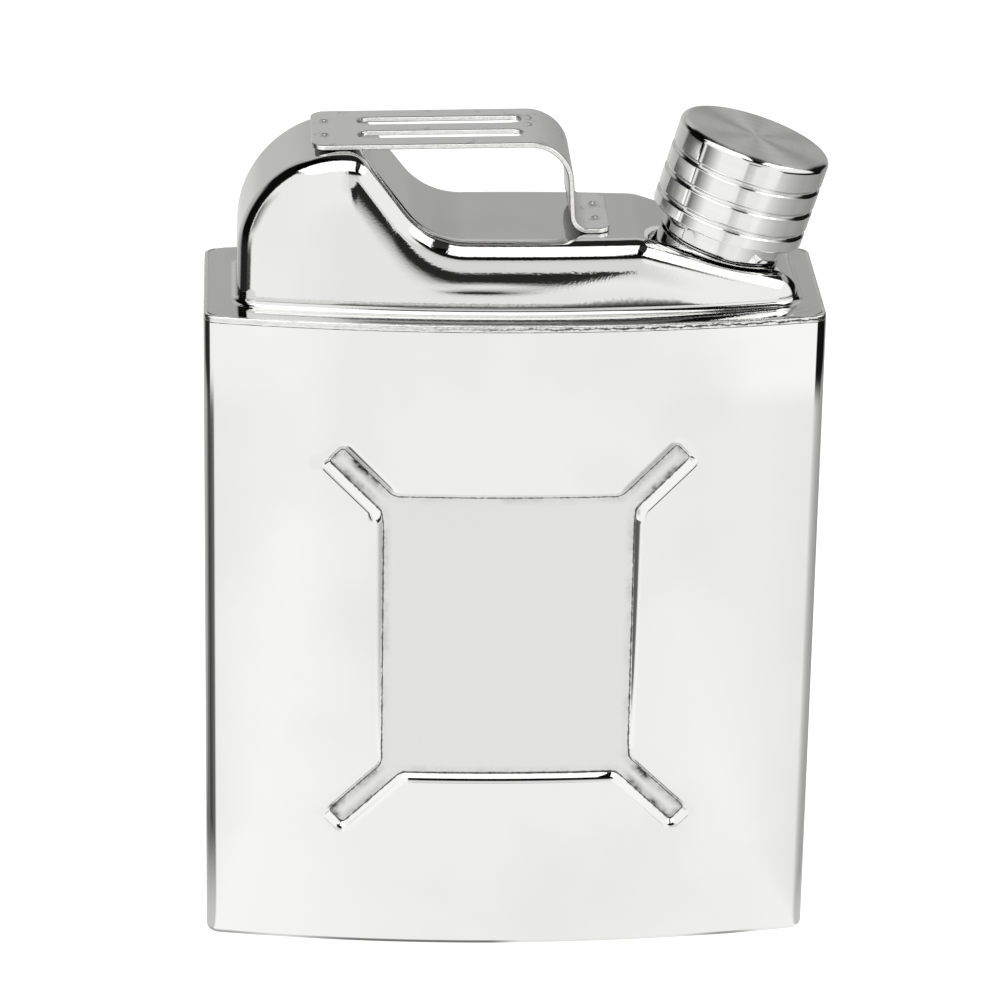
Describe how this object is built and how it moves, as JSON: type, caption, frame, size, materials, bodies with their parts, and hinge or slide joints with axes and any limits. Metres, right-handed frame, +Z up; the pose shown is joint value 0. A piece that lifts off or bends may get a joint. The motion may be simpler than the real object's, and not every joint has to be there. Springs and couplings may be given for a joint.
{
  "type": "hip flask",
  "caption": "Polished steel hip flask shaped like a small fuel can, with a pressed cross panel, a humped shoulder, a slotted carrying handle and a leaning screw cap.",
  "frame": {"origin": "middle of the flat underside, on the surface that the flask stands on", "axes": "+Z up, +X towards the pouring side with the cap, -Y out of the front panel"},
  "size_m": [0.0847, 0.0348, 0.1168],
  "materials": {
    "polished_steel": "mirror-polished stainless steel sheet",
    "weld_steel": "rough dressed weld",
    "satin_steel": "satin stainless strip with bright cut edges",
    "turned_steel": "fine lathe-turned stainless steel",
    "silicone": "matt translucent white silicone rubber"
  },
  "bodies": {
    "flask": {"base_plate": "polished_steel", "body_sleeve": "polished_steel", "rim_weld_bead": "weld_steel", "shoulder_cover": "polished_steel", "handle": "satin_steel", "neck_spout": "turned_steel"},
    "cap_seal": {"cap_gasket": "silicone"},
    "cap": {"cap_shell": "turned_steel"}
  },
  "joints": [
    {"name": "cap_lift", "type": "slide", "parent": "flask", "child": "cap_seal", "axis": [0.2874, 0, 0.9578], "range_m": [0, 0.01]},
    {"name": "cap_turn", "type": "hinge", "parent": "cap_seal", "child": "cap", "pos_m": [0.0284, 0, 0.09908], "axis": [0.2874, 0, 0.9578], "range_deg": [0, 1440]}
  ],
  "couplings": [
    {"joint": "cap_lift", "follows": "cap_turn", "m_per_rad": 0.00039789}
  ]
}
